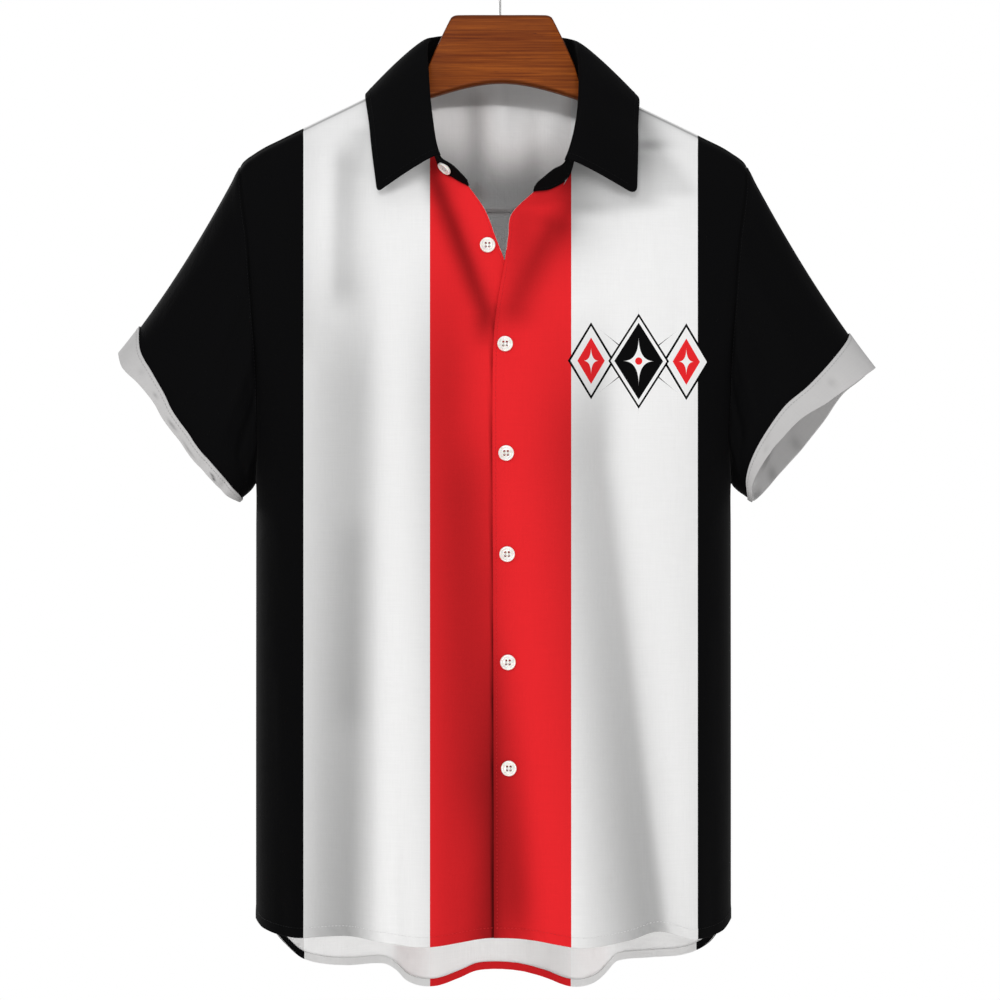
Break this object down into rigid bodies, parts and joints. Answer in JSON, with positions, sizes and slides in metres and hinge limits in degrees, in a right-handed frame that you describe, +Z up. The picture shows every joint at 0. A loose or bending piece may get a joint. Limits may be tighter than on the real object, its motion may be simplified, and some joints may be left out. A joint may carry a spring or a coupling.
{
  "type": "bowling shirt on a wooden hanger",
  "caption": "Short-sleeved bowling shirt with vertical stripes, turned-up cuffs and a buttoned front, hanging on a wooden hanger with a wire hook.",
  "frame": {"origin": "inside top of the hanger's hook, where the rail or rod that carries it touches the wire", "axes": "+Z up; -Y is the shirt's front, the side with the buttons; +X is the wearer's left, seen on the right from the front"},
  "size_m": [0.6358, 0.1925, 0.9],
  "materials": {
    "printed_polyester": "plain-woven polyester, printed in black, white and red stripes",
    "black_polyester": "plain-woven polyester, printed black",
    "polyester_wrong_side": "unprinted wrong side of the cloth, light grey",
    "button_resin": "glossy cast resin, off-white",
    "varnished_wood": "reddish brown stained wood under satin varnish",
    "plated_steel": "plated steel wire"
  },
  "bodies": {
    "root": {"front_under": "printed_polyester", "front_over": "printed_polyester", "yoke": "printed_polyester", "back": "printed_polyester", "hem_band_back": "printed_polyester", "sleeve_left": "black_polyester", "sleeve_right": "black_polyester", "cuff_left": "polyester_wrong_side", "cuff_right": "polyester_wrong_side", "collar_stand": "black_polyester", "collar_leaf": "black_polyester", "button_stand": "button_resin", "button_open": "button_resin", "button_1": "button_resin", "button_2": "button_resin", "button_3": "button_resin", "button_4": "button_resin", "button_5": "button_resin", "hanger_wood": "varnished_wood", "hanger_hook": "plated_steel"}
  },
  "joints": []
}
